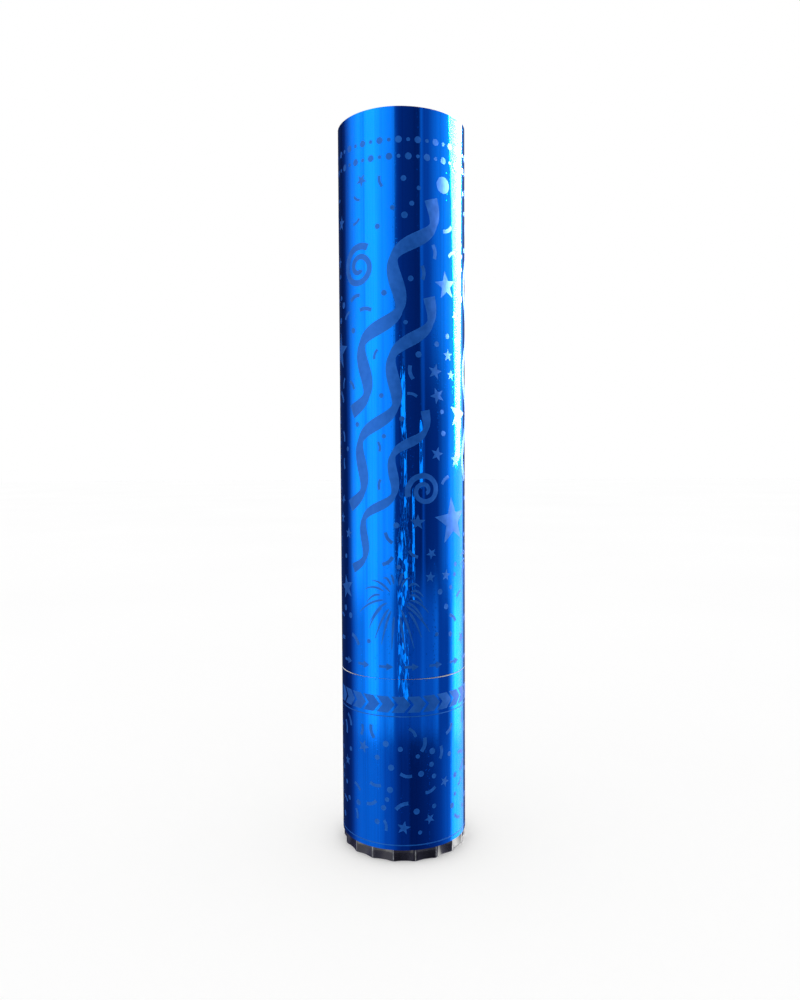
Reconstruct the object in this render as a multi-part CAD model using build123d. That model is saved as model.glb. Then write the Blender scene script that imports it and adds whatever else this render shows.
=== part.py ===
from build123d import *
import math
import os

# Twist-fired confetti popper. Millimetres, +Z up the barrel, origin under the middle of the foot.

# Tubes and their film
tube_diameter = 50.0  # over the film
film_thickness = 0.12
film_glue = 0.03
film_lap = 8.0  # width of the lap down the back
tube_wall = 1.85
handle_length = 65.7
barrel_length = 212.2
seam_gap = 0.4
glue_gap = 0.1  # radial room for glue round every moulding in a tube

# Base plug
foot_height = 4.7
foot_setback = 0.4  # how far the ridges stand in from the film
foot_edge = 0.5
foot_width = 3.6
flute_count = 18
flute_depth = 0.8
ridge_width = 1.0
floor_thickness = 2.5
underside_rib_count = 8
underside_rib_width = 1.2
underside_rib_rise = 0.6  # ribs stop this far above the surface that the foot stands on
access_diameter = 7.0
access_wall = 2.0
skirt_height = 13.0
skirt_wall = 2.0

# Air bottle
bottle_fit = 0.3
bottle_wall = 0.7
bottle_push_up = 5.0  # height of the raised middle of its base
bottle_push_up_diameter = 22.0
bottle_rim_edge = 1.5
bottle_rim_land = 2.0
shoulder_height = 9.0
neck_diameter = 23.0
neck_height = 3.0
bead_height = 2.6
bead_width = 2.0  # how far the rolled bead stands out from the neck
bead_edge = 0.7
fill_hole_diameter = 5.0
fill_flange_width = 1.6
fill_flange_thickness = 1.2

# Valve
seat_gap = 0.05
cup_thickness = 0.6
cup_fit = 0.1
cup_lip_gap = 0.4
orifice_diameter = 9.6
gasket_thickness = 1.0
gasket_setback = 0.2
valve_flange = 1.0
valve_fit = 0.3
valve_wall = 1.8
valve_depth = 14.0
valve_floor = 1.6
port_count = 4
port_width = 5.0
port_height = 7.0
port_rise = 1.0
poppet_fit = 0.6
poppet_thickness = 2.0
seat_lip_offset = 0.8
seat_lip_width = 1.0
seat_lip_height = 0.5
stem_diameter = 4.8
stem_rise = 2.0  # height of the stem above the valve cup
spring_guide_diameter = 4.0
spring_guide_length = 4.5
spring_wire = 0.8
spring_fit = 0.5
spring_turns = 4
spring_sides = 6

# Bottle carrier and the tower that the barrel turns on
carrier_web = 3.2
carrier_skirt = 12.0
carrier_skirt_wall = 1.6
carrier_rim_wall = 2.0
tower_wall = 5.0
seal_rise = 2.0
seal_height = 1.8
seal_depth = 1.4
seal_fit = 0.05
ring_thickness = 1.2
ring_groove_depth = 1.0
ring_width = 3.4
ring_opening = 40.0  # degrees

# Barrel collar
collar_wall = 4.1  # round the cavity that the cam turns in
boss_depth = 4.0  # how far the collar reaches down into the handle
boss_gap = 0.5
running_gap = 0.1
thrust_gap = 0.1
bearing_length = 10.6

# Firing cam: three arms pushed down by three helical ramps
twist_angle = 60.0
plunger_travel = 3.0
arm_count = 3
arm_width = 5.0
arm_height = 4.0
arm_reach = 3.0  # how far the arms stand out of the tower
arm_fit = 0.3
arm_clear = 1.5  # room left over the retaining ring at full travel
stop_gap = 1.0  # degrees
stop_overlap = 3.0  # how much of a fully lowered arm the stops still meet
ramp_gap = 0.1
ramp_side_gap = 0.4
ramp_root = 1.5
plunger_fit = 0.3
plunger_wall = 2.0
plunger_guide = 5.0
pin_gap = 0.3
tower_top_gap = 0.5

# Nozzle plate
plate_thickness = 3.0
nozzle_diameter = 10.0
vent_count = 6
vent_diameter = 4.0
vent_circle = 17.0

# Shot: wad, confetti and the disc that closes the muzzle
slide_gap = 0.4
wad_gap = 0.2
wad_thickness = 3.0
pad_thickness = 8.0
charge_gap = 0.5
slip_width = 17.0
bundle_row = 4  # bundles side by side across the bore
tier_turn = 30.0  # degrees from one tier to the next
disc_thickness = 1.5
disc_recess = 3.0
disc_fit = 0.3

# Radii that follow
film_radius = tube_diameter / 2
tube_radius = film_radius - film_thickness - film_glue
bore_radius = tube_radius - tube_wall
glued_radius = bore_radius - glue_gap
foot_radius = film_radius - foot_setback
skirt_bore = glued_radius - skirt_wall
bottle_radius = skirt_bore - bottle_fit
neck_radius = neck_diameter / 2
bead_reach = neck_radius + bead_width
mouth_radius = neck_radius - bottle_wall
orifice_radius = orifice_diameter / 2
valve_radius = mouth_radius - valve_fit
valve_bore = valve_radius - valve_wall
spring_radius = spring_guide_diameter / 2 + spring_fit + spring_wire / 2
cavity_radius = glued_radius - collar_wall
ramp_outer = cavity_radius - ramp_side_gap
arm_radius = ramp_outer - ramp_side_gap
tower_radius = arm_radius - arm_reach
tower_bore = tower_radius - tower_wall
bearing_radius = tower_radius + running_gap
ramp_inner = tower_radius + ramp_side_gap
boss_radius = glued_radius - carrier_rim_wall - boss_gap

# Heights in the handle, worked down from its top and up from the foot
handle_top = foot_height + handle_length
web_top = handle_top - boss_depth
web_low = web_top - carrier_web
cup_top = web_low - seat_gap
gasket_top = cup_top - cup_thickness
gasket_low = gasket_top - gasket_thickness
valve_flange_low = gasket_low - valve_flange
bead_top = valve_flange_low - seat_gap
bead_low = bead_top - bead_height
shoulder_top = bead_low - neck_height
shoulder_low = shoulder_top - shoulder_height
bottle_low = foot_height
valve_low = valve_flange_low - valve_depth
valve_floor_top = valve_low + valve_floor
poppet_top = gasket_low - seat_gap - seat_lip_height
poppet_low = poppet_top - poppet_thickness
stem_top = cup_top + stem_rise

# Heights in the barrel, worked up from the turning seam
barrel_low = handle_top + seam_gap
barrel_top = barrel_low + barrel_length
bearing_low = web_top + thrust_gap
bearing_top = bearing_low + bearing_length
ring_low = bearing_top + thrust_gap
ring_top = ring_low + ring_thickness
arm_low_fired = ring_top + arm_clear
arm_low = arm_low_fired + plunger_travel
arm_top = arm_low + arm_height
arm_half_angle = math.degrees(math.asin(arm_width / 2 / ramp_inner))
ramp_end = arm_half_angle + stop_gap  # degrees from an arm's middle to the ramp's high end
ramp_start = -twist_angle - ramp_end  # degrees to its low end
ramp_slope = plunger_travel / twist_angle  # millimetres per degree
ramp_high = arm_top + ramp_gap + ramp_slope * ramp_end
plate_low = ramp_high + ramp_root
plate_top = plate_low + plate_thickness
tower_top = plate_low - tower_top_gap
stop_low = arm_low_fired + arm_height - stop_overlap
wad_low = plate_top + wad_gap
pad_low = wad_low + wad_thickness
charge_low = pad_low + pad_thickness + charge_gap
disc_top = barrel_top - disc_recess
disc_low = disc_top - disc_thickness
tier_names = ("low", "middle", "top")
slip_length = (disc_low - charge_low) / len(tier_names) - charge_gap

# Angles: the photographed front faces -Y, the film laps at the back
front = -90.0
back = 90.0


def cylinder(radius, low, high):
    return Pos(0, 0, low) * extrude(Circle(radius), high - low)


def ring(outer, inner, low, high):
    return Pos(0, 0, low) * extrude(Circle(outer) - Circle(inner), high - low)


def polar(radius, angle):
    return Vector(radius * math.cos(math.radians(angle)), radius * math.sin(math.radians(angle)))


def sector(outer, inner, start, end, low, high):
    """Part of a ring between two angles."""
    middle = (start + end) / 2
    outer_arc = ThreePointArc(polar(outer, start), polar(outer, middle), polar(outer, end))
    inner_arc = ThreePointArc(polar(inner, end), polar(inner, middle), polar(inner, start))
    sides = [Line(inner_arc @ 1, outer_arc @ 0), Line(outer_arc @ 1, inner_arc @ 0)]
    return Pos(0, 0, low) * extrude(make_face([outer_arc, inner_arc, *sides]), high - low)


def bar(inner, outer, width, angle, low, high):
    """Straight bar lying along a radius."""
    section = Pos((inner + outer) / 2, 0) * Rectangle(outer - inner, width)
    return Rot(0, 0, angle) * Pos(0, 0, low) * extrude(section, high - low)


def turned(*outline):
    """Solid turned from a closed outline of (radius, height) points."""
    points = [(radius, 0, height) for radius, height in outline]
    return revolve(make_face(Polyline(*points, close=True)), Axis.Z)


def around(count, start=front):
    return [start + 360 / count * index for index in range(count)]


def film(low, high):
    """Film wrapped once round a tube, its end lapped over its start."""
    lap_angle = math.degrees(film_lap / film_radius)
    lap = sector(film_radius + film_thickness, film_radius, back, back + lap_angle, low, high)
    return ring(film_radius, film_radius - film_thickness, low, high) + lap


def base_plug():
    """Fluted foot with a ribbed underside, and the skirt that plugs the handle."""
    foot = turned(
        (0, 0),
        (foot_radius - foot_edge, 0),
        (foot_radius, foot_edge),
        (foot_radius, foot_height),
        (0, foot_height),
    )
    flute_half_angle = math.pi / flute_count - ridge_width / 2 / foot_radius
    half_chord = foot_radius * math.sin(flute_half_angle)
    flute_bottom = foot_radius - flute_depth
    chord_depth = foot_radius * math.cos(flute_half_angle) - flute_bottom
    flute_radius = (half_chord**2 + chord_depth**2) / (2 * chord_depth)
    flutes = [
        Pos(*polar(flute_bottom + flute_radius, angle)) * cylinder(flute_radius, 0, foot_height)
        for angle in around(flute_count)
    ]
    floor_low = foot_height - floor_thickness
    recess_radius = foot_radius - foot_width
    access_radius = access_diameter / 2
    rib_reach = foot_radius - foot_width / 2
    ribs = [
        bar(access_radius, rib_reach, underside_rib_width, angle, underside_rib_rise, floor_low)
        for angle in around(underside_rib_count)
    ]
    hub = cylinder(access_radius + access_wall, underside_rib_rise, floor_low)
    skirt = ring(glued_radius, skirt_bore, foot_height, foot_height + skirt_height)
    body = foot - flutes - cylinder(recess_radius, 0, floor_low) + ribs + hub + skirt
    return body - cylinder(access_radius, 0, foot_height)


def bottle_outline(inset):
    """Half outline of the bottle from its axis, drawn in by the inset."""
    rim = bottle_low + inset
    body = bottle_radius - inset
    neck = neck_radius - inset
    shoulder_drop = inset * math.tan(math.atan2(bottle_radius - neck_radius, shoulder_height) / 2)
    return (
        (0, rim + bottle_push_up),
        (bottle_push_up_diameter / 2, rim + bottle_push_up),
        (bottle_radius - bottle_rim_edge - bottle_rim_land, rim),
        (bottle_radius - bottle_rim_edge, rim),
        (body, rim + bottle_rim_edge - inset),
        (body, shoulder_low - shoulder_drop),
        (neck, shoulder_top - shoulder_drop),
        (neck, bead_top),
        (0, bead_top),
    )


def air_bottle():
    """Thin drawn bottle with a pushed-up base, a tapered shoulder and a rolled bead at its mouth."""
    shell = turned(*bottle_outline(0))
    bead = turned(
        (mouth_radius, bead_low),
        (bead_reach - bead_edge, bead_low),
        (bead_reach, bead_low + bead_edge),
        (bead_reach, bead_top - bead_edge),
        (bead_reach - bead_edge, bead_top),
        (mouth_radius, bead_top),
    )
    hollow = turned(*bottle_outline(bottle_wall))
    fill_hole = cylinder(fill_hole_diameter / 2, bottle_low, shoulder_low)
    return shell + bead - hollow - fill_hole


def fill_plug():
    """Rubber plug with a flange each side of the bottle's base."""
    stem = fill_hole_diameter / 2 - seat_gap
    flange = fill_hole_diameter / 2 + fill_flange_width
    lower_top = bottle_low + bottle_push_up - seat_gap
    upper_low = bottle_low + bottle_push_up + bottle_wall + seat_gap
    lower = cylinder(flange, lower_top - fill_flange_thickness, lower_top)
    upper = cylinder(flange, upper_low, upper_low + fill_flange_thickness)
    return lower + cylinder(stem, lower_top, upper_low) + upper


def valve_body():
    """Cage that hangs in the bottle's mouth, with a window on each side for the air."""
    cage = cylinder(valve_radius, valve_low, valve_flange_low)
    flange = cylinder(bead_reach, valve_flange_low, gasket_low)
    bore = cylinder(valve_bore, valve_floor_top, gasket_low)
    port_low = valve_floor_top + port_rise
    ports = [
        bar(valve_bore / 2, valve_radius + valve_wall, port_width, angle, port_low, port_low + port_height)
        for angle in around(port_count)
    ]
    return cage + flange - bore - ports


def valve_gasket():
    return ring(bead_reach, orifice_radius + gasket_setback, gasket_low, gasket_top)


def valve_cup():
    """Pressed cup crimped under the bead, with the valve's opening in its top."""
    bore = bead_reach + cup_fit
    outside = bore + cup_thickness
    lip = neck_radius + cup_lip_gap
    lip_top = bead_low - seat_gap
    lip_low = lip_top - cup_thickness
    return turned(
        (orifice_radius, cup_top),
        (outside, cup_top),
        (outside, lip_low),
        (lip, lip_low),
        (lip, lip_top),
        (bore, lip_top),
        (bore, gasket_top),
        (orifice_radius, gasket_top),
    )


def valve_poppet():
    """Valve head with a raised lip that meets the gasket, a stem above and a spring guide below."""
    lip = orifice_radius + seat_lip_offset
    head = cylinder(valve_bore - poppet_fit, poppet_low, poppet_top)
    seat_lip = ring(lip + seat_lip_width, lip, poppet_top, poppet_top + seat_lip_height)
    stem = cylinder(stem_diameter / 2, poppet_top, stem_top)
    guide = cylinder(spring_guide_diameter / 2, poppet_low - spring_guide_length, poppet_low)
    return head + seat_lip + stem + guide


def biarc(start, start_way, end, end_way):
    """Two arcs, tangent where they meet, between two points with given directions."""
    chord = end - start
    ways = start_way + end_way
    square = ways.dot(ways) - 4
    linear = chord.dot(ways)
    reach = (linear - math.sqrt(linear**2 - square * chord.dot(chord))) / square
    first_corner = start + start_way * reach
    second_corner = end - end_way * reach
    joint = (first_corner + second_corner) * 0.5
    first = TangentArc(start, joint, tangent=start_way)
    second = TangentArc(joint, end, tangent=second_corner - first_corner)
    return [*first.edges(), *second.edges()]


def valve_spring():
    """Round wire wound in open turns between the cage's floor and the poppet."""
    low = valve_floor_top + seat_gap + spring_wire / 2
    high = poppet_low - seat_gap - spring_wire / 2
    climb = (high - low) / (2 * math.pi * spring_turns)  # millimetres per radian
    quarters = [math.pi / 2 * index for index in range(4 * spring_turns + 1)]
    points = [
        Vector(spring_radius * math.cos(turn), spring_radius * math.sin(turn), climb * turn)
        for turn in quarters
    ]
    ways = [
        Vector(-spring_radius * math.sin(turn), spring_radius * math.cos(turn), climb).normalized()
        for turn in quarters
    ]
    arcs = []
    for index in range(len(quarters) - 1):
        arcs += biarc(points[index], ways[index], points[index + 1], ways[index + 1])
    least = min((upper - lower).length for lower, upper in zip(points, points[4:])) - spring_wire
    print(f"valve_spring: least gap between turns {least:.2f} mm")
    section = Plane(points[0], z_dir=ways[0]) * RegularPolygon(spring_wire / 2, spring_sides)
    return Pos(0, 0, low) * sweep(section, path=Wire(arcs), clean=False)


def bottle_carrier():
    """Moulding glued in the handle: skirt and web over the bottle, and the slotted tower."""
    skirt = ring(glued_radius, glued_radius - carrier_skirt_wall, web_low - carrier_skirt, web_low)
    web = cylinder(glued_radius, web_low, web_top)
    rim = ring(glued_radius, glued_radius - carrier_rim_wall, web_top, handle_top)
    tower = cylinder(tower_radius, web_top, tower_top)
    seal_low = web_top + seal_rise
    seal_groove = ring(tower_radius, tower_radius - seal_depth, seal_low, seal_low + seal_height)
    ring_groove = ring(
        tower_radius, tower_radius - ring_groove_depth, ring_low - seat_gap, ring_top + seat_gap
    )
    slot_low = arm_low_fired - arm_fit
    slots = [
        bar(tower_bore / 2, arm_radius, arm_width + 2 * arm_fit, angle, slot_low, tower_top)
        for angle in around(arm_count)
    ]
    body = skirt + web + rim + tower - cylinder(tower_bore, web_low, tower_top)
    return body - seal_groove - ring_groove - slots


def air_seal():
    low = web_top + seal_rise + seat_gap
    inner = tower_radius - seal_depth + seat_gap
    return ring(bearing_radius - seal_fit, inner, low, low + seal_height - 2 * seat_gap)


def retaining_ring():
    """Open ring sprung into the tower's groove over the collar's bearing."""
    inner = tower_radius - ring_groove_depth + seat_gap
    outer = inner + ring_width
    opening = bar(0, outer + ring_width, outer * math.radians(ring_opening), back, ring_low, ring_top)
    return ring(outer, inner, ring_low, ring_top) - opening


def ramp(angle, inner, outer, drop):
    """Block over an arm whose underside climbs as a helix, lowered by the drop."""
    low = arm_top + ramp_gap + ramp_slope * ramp_start - drop
    height = plate_top - low
    middle = (inner + outer) / 2
    path = Helix(ramp_slope * 360, ramp_high - low - drop, middle)
    section = Plane.XZ * Pos(middle, height / 2) * Rectangle(outer - inner, height)
    block = sweep(section, path=path, is_frenet=True)
    return Rot(0, 0, angle + ramp_start) * Pos(0, 0, low) * block


def firing_plunger():
    """Three arms on a hollow guide, with a pin down to the valve's stem and sloped pads for the ramps."""
    guide_radius = tower_bore - plunger_fit
    guide = ring(guide_radius, guide_radius - plunger_wall, arm_low - plunger_guide, arm_top)
    pin = cylinder(stem_diameter / 2, stem_top + pin_gap, arm_top)
    body = guide + pin
    for angle in around(arm_count):
        pad = bar(tower_radius, arm_radius, arm_width, angle, arm_low, plate_low)
        body += bar(0, tower_radius, arm_width, angle, arm_low, arm_top)
        body += pad - ramp(angle, tower_radius - arm_fit, cavity_radius, ramp_gap)
    return body


def barrel_collar():
    """Moulding glued in the barrel: bearing on the tower, boss down into the handle, cavity for the cam."""
    boss = cylinder(boss_radius, bearing_low, barrel_low)
    body = cylinder(glued_radius, barrel_low, plate_low)
    bearing = cylinder(bearing_radius, bearing_low, bearing_top)
    cavity = cylinder(cavity_radius, bearing_top, plate_low)
    return boss + body - bearing - cavity


def nozzle_plate():
    """Plate with the air holes above and, below, a ramp and a stop for each arm."""
    plate = cylinder(glued_radius, plate_low, plate_top)
    vents = [
        Pos(*polar(vent_circle / 2, angle)) * cylinder(vent_diameter / 2, plate_low, plate_top)
        for angle in around(vent_count)
    ]
    body = plate - cylinder(nozzle_diameter / 2, plate_low, plate_top) - vents
    for angle in around(arm_count):
        hanging = ramp(angle, ramp_inner, ramp_outer, 0) & cylinder(glued_radius, stop_low, plate_low)
        stop_end = angle + ramp_end + 360 / arm_count - (ramp_end - ramp_start)
        body += hanging
        body += sector(ramp_outer, ramp_inner, angle + ramp_end, stop_end, stop_low, plate_low)
    return body


def confetti(tier):
    """One tier of paper slips: a row of bundles across the bore and one more on each side."""
    reach = math.sqrt((bore_radius - slide_gap - charge_gap) ** 2 - (slip_width / 2) ** 2)
    row_step = (2 * reach + charge_gap) / bundle_row
    bundle = Rectangle(slip_width, row_step - charge_gap)
    row = [Pos(0, row_step * (index - (bundle_row - 1) / 2)) * bundle for index in range(bundle_row)]
    side_inner = slip_width / 2 + charge_gap
    sides = [
        Pos(way * (side_inner + reach) / 2, 0) * Rectangle(reach - side_inner, slip_width) for way in (-1, 1)
    ]
    low = charge_low + tier * (slip_length + charge_gap)
    bundles = [Pos(0, 0, low) * extrude(section, slip_length) for section in row + sides]
    return Rot(0, 0, tier * tier_turn) * Compound([solid for bundle in bundles for solid in bundle.solids()])


nodes = {
    "base_plug": base_plug(),
    "handle_tube": ring(tube_radius, bore_radius, foot_height, handle_top),
    "handle_film": film(foot_height, handle_top),
    "air_bottle": air_bottle(),
    "fill_plug": fill_plug(),
    "valve_body": valve_body(),
    "valve_gasket": valve_gasket(),
    "valve_cup": valve_cup(),
    "valve_poppet": valve_poppet(),
    "valve_spring": valve_spring(),
    "bottle_carrier": bottle_carrier(),
    "air_seal": air_seal(),
    "retaining_ring": retaining_ring(),
    "firing_plunger": firing_plunger(),
    "barrel_tube": ring(tube_radius, bore_radius, barrel_low, barrel_top),
    "barrel_film": film(barrel_low, barrel_top),
    "barrel_collar": barrel_collar(),
    "nozzle_plate": nozzle_plate(),
    "wad_disc": cylinder(bore_radius - slide_gap, wad_low, pad_low),
    "wad_pad": cylinder(bore_radius - slide_gap, pad_low, pad_low + pad_thickness),
    "muzzle_disc": cylinder(bore_radius - disc_fit, disc_low, disc_top),
}
for tier, name in enumerate(tier_names):
    nodes["confetti_" + name] = confetti(tier)

os.makedirs("parts", exist_ok=True)
for name, solid in nodes.items():
    export_step(solid, f"parts/{name}.step")
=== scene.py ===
import bmesh
import bpy
import math
import random
from mathutils import Matrix, Vector


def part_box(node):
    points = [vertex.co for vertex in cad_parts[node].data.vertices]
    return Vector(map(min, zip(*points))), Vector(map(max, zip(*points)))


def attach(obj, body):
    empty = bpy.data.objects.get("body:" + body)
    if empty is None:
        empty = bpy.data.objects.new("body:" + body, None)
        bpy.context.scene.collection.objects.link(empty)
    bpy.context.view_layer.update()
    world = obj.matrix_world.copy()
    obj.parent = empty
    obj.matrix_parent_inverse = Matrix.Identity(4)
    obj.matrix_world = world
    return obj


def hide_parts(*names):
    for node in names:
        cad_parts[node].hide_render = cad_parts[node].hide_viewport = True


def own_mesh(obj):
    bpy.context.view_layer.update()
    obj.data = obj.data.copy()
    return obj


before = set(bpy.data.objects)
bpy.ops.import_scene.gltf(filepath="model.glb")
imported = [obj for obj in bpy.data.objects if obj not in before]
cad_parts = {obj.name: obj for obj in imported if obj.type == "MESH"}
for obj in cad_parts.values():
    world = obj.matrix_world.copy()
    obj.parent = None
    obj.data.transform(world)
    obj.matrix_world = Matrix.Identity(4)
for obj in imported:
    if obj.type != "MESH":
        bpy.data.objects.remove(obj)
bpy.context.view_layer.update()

# Base plug
# Gloss black moulding glued into the handle's lower end. Its foot stands below the film, fluted for
# the fingers, and its underside is cored out and ribbed round a hole that reaches the bottle's plug.
mm = 0.001
plug_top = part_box("base_plug")[1].z
foot_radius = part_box("base_plug")[1].x
foot_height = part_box("handle_film")[0].z
foot_rim = 3.6 * mm
foot_edge = 0.35 * mm
foot_steps = 540
flute_count = 18
flute_depth = 0.8 * mm
ridge_width = 1.0 * mm
ridge_softness = 0.3 * mm
floor_height = 2.2 * mm
hub_radius = 5.5 * mm
access_radius = 3.5 * mm
skirt_radius = 22.9 * mm
skirt_wall = 2.0 * mm
rib_count = 8
rib_half_angle = math.radians(2.6)
rib_rise = 0.6 * mm
rib_end_gap = 0.2 * mm
# How far in from the ridge crests the foot is painted lighter grey: partly wear, partly a painted highlight
# for the ridge glints.
rub_and_glint_full = 0.005 * mm
rub_and_glint_gone = 0.04 * mm
rub_and_glint_patch = 1.2 * mm
cloud_size = 6 * mm
peel_size = 0.5 * mm
peel_depth = 0.01 * mm
noise_low = 0.3
noise_high = 0.7
weld = 0.002 * mm


def named(name):
    """The object that was just added, under its name."""
    piece = bpy.context.object
    piece.name = name
    piece.data.name = name
    return piece


def added(name, primitive, **sizes):
    """A new primitive under its name, with nothing else selected."""
    bpy.ops.object.select_all(action="DESELECT")
    primitive(**sizes)
    return named(name)


def alone(piece):
    """Selects one piece and makes it the active one."""
    bpy.ops.object.select_all(action="DESELECT")
    piece.select_set(True)
    bpy.context.view_layer.objects.active = piece


def edit_all():
    """Edit mode, with the whole mesh selected."""
    bpy.ops.object.mode_set(mode="EDIT")
    bpy.ops.mesh.select_all(action="SELECT")


def turned(name, outline, steps):
    """A piece spun round the popper's axis from a closed outline of (radius, height) corners."""
    piece = added(name, bpy.ops.mesh.primitive_plane_add, size=1)
    edit_all()
    bpy.ops.mesh.merge(type="CENTER")
    here = Vector((outline[0][0], 0, outline[0][1]))
    bpy.ops.transform.translate(value=here)
    for radius, height in outline[1:] + outline[:1]:
        there = Vector((radius, 0, height))
        bpy.ops.mesh.extrude_region_move(TRANSFORM_OT_translate={"value": there - here})
        here = there
    bpy.ops.mesh.select_all(action="SELECT")
    bpy.ops.mesh.spin(steps=steps, angle=2 * math.pi, center=(0, 0, 0), axis=(0, 0, 1))
    bpy.ops.mesh.select_all(action="SELECT")
    bpy.ops.mesh.remove_doubles(threshold=weld)
    bpy.ops.mesh.normals_make_consistent(inside=False)
    bpy.ops.object.mode_set(mode="OBJECT")
    return piece


def soften(piece, width, sharpness=40):
    """Rounds a piece's sharp edges."""
    bpy.context.view_layer.objects.active = piece
    bpy.ops.object.mode_set(mode="EDIT")
    bpy.ops.mesh.select_mode(type="EDGE")
    bpy.ops.mesh.select_all(action="DESELECT")
    bpy.ops.mesh.edges_select_sharp(sharpness=math.radians(sharpness))
    bpy.ops.mesh.bevel(offset=width, segments=3, affect="EDGES")
    bpy.ops.mesh.select_mode(type="VERT")
    bpy.ops.object.mode_set(mode="OBJECT")


def shade(piece, angle=35):
    """Smooth shading that keeps edges sharper than the angle."""
    alone(piece)
    bpy.ops.object.shade_smooth_by_angle(angle=math.radians(angle))


def finish(name, roughness, metallic=0.0, sockets=()):
    """A new material with its shader and the piece's own Object coordinates."""
    material = bpy.data.materials.new(name)
    material.use_nodes = True
    nodes = material.node_tree.nodes
    shader = nodes["Principled BSDF"]
    for socket, value in (("Roughness", roughness), ("Metallic", metallic), *sockets):
        shader.inputs[socket].default_value = value
    return material, shader, nodes.new("ShaderNodeTexCoord").outputs["Object"]


def wired(kind, output, inputs, **settings):
    """A new shader node's output. Inputs that come from nodes are joined, in their tree; the rest are set."""
    joined = {name: value for name, value in inputs.items() if isinstance(value, bpy.types.NodeSocket)}
    tree = next(iter(joined.values())).id_data
    made = tree.nodes.new("ShaderNode" + kind)
    for name, value in settings.items():
        setattr(made, name, value)
    for name, value in inputs.items():
        if name in joined:
            tree.links.new(value, made.inputs[name])
        else:
            made.inputs[name].default_value = value
    return made.outputs[output]


def stretched(place, size, stretch):
    """A place scaled to a pattern's size, drawn out along the axes with a stretch above 1."""
    scale = [1 / (size * along) for along in stretch]
    return wired("Mapping", "Vector", {"Vector": place, "Scale": scale})


def grain(place, size, stretch=(1, 1, 1), detail=3):
    """Noise whose spots are about the given size."""
    mapped = stretched(place, size, stretch)
    return wired("TexNoise", "Fac", {"Vector": mapped, "Scale": 1, "Detail": detail})


def vary(value, low, high):
    """A value from noise, spread between two levels."""
    return wired("MapRange", "Result", {"Value": value, "From Min": noise_low, "From Max": noise_high,
                                        "To Min": low, "To Max": high})


def tint(value, dark, light, low=noise_low, high=noise_high):
    """A colour between two colours, from a value."""
    ramp = wired("ValToRGB", "Color", {"Fac": value})
    first, last = ramp.node.color_ramp.elements
    first.position = low
    first.color = (*dark, 1)
    last.position = high
    last.color = (*light, 1)
    return ramp


def relief(value, depth, under=None):
    """A bump of the given depth from a value, on top of another bump where one is given."""
    inputs = {"Height": value, "Distance": depth}
    if under is not None:
        inputs["Normal"] = under
    return wired("Bump", "Normal", inputs)


def reckon(operation, *values):
    """One step of arithmetic on numbers and values."""
    return wired("Math", "Value", dict(enumerate(values)), operation=operation)


def parted(place):
    """The x, y and z of a place, and how far it lies from the popper's axis."""
    x, y, z = wired("SeparateXYZ", "X", {"Vector": place}).node.outputs
    reach = reckon("SQRT", reckon("MULTIPLY_ADD", x, x, reckon("MULTIPLY", y, y)))
    return x, y, z, reach


def fading(value, full, gone):
    """1 where a value has reached its full end, easing to 0 where it is gone."""
    ends = {"Value": value, "From Min": gone, "From Max": full}
    return wired("MapRange", "Result", ends, interpolation_type="SMOOTHSTEP")


def coat(shader, colour, normal=None, roughness=None):
    """Joins a finish's colour, relief and roughness to its shader."""
    for name, value in (("Base Color", colour), ("Normal", normal), ("Roughness", roughness)):
        if value is not None:
            value.id_data.links.new(value, shader.inputs[name])


def black_gloss():
    """Gloss black plastic with a faint orange peel, painted lighter grey along the ridges of the foot: partly
    rubbed wear, partly a painted highlight that stands in for the glints on the ridges.
    """
    material, shader, place = finish("black_gloss", 0.12, sockets=(("Coat Weight", 1),))
    reach = parted(place)[3]
    # Lighter grey painted on the ridge crests, patchy with noise: partly wear, partly a painted highlight
    # that stands in for the glints.
    ridge_wear_and_glint = fading(reach, foot_radius - rub_and_glint_full, foot_radius - rub_and_glint_gone)
    wear_and_glint = reckon("MULTIPLY", ridge_wear_and_glint, vary(grain(place, rub_and_glint_patch), 0.25, 1))
    black_and_ridge_glint = tint(wear_and_glint, (0.007, 0.007, 0.008), (0.30, 0.31, 0.33), 0, 1)
    peel = relief(grain(place, peel_size), peel_depth)
    coat(shader, black_and_ridge_glint, peel, vary(grain(place, cloud_size), 0.09, 0.2))
    return material


def flute_cut(angle):
    """How deep a flute is cut into the foot, at an angle round it from the photographed front."""
    half_angle = math.pi / flute_count - ridge_width / 2 / foot_radius
    bottom = foot_radius - flute_depth
    half_chord = foot_radius * math.sin(half_angle)
    chord_depth = foot_radius * math.cos(half_angle) - bottom
    round_radius = (half_chord ** 2 + chord_depth ** 2) / (2 * chord_depth)
    centre = bottom + round_radius
    pitch = 2 * math.pi / flute_count
    offset = (angle + pitch / 2) % pitch - pitch / 2
    reach = centre * math.cos(offset) - math.sqrt(round_radius ** 2 - (centre * math.sin(offset)) ** 2)
    overlap = max(ridge_softness - abs(reach - foot_radius), 0) / ridge_softness
    return foot_radius - min(reach, foot_radius) + overlap ** 2 * ridge_softness / 4


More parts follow.
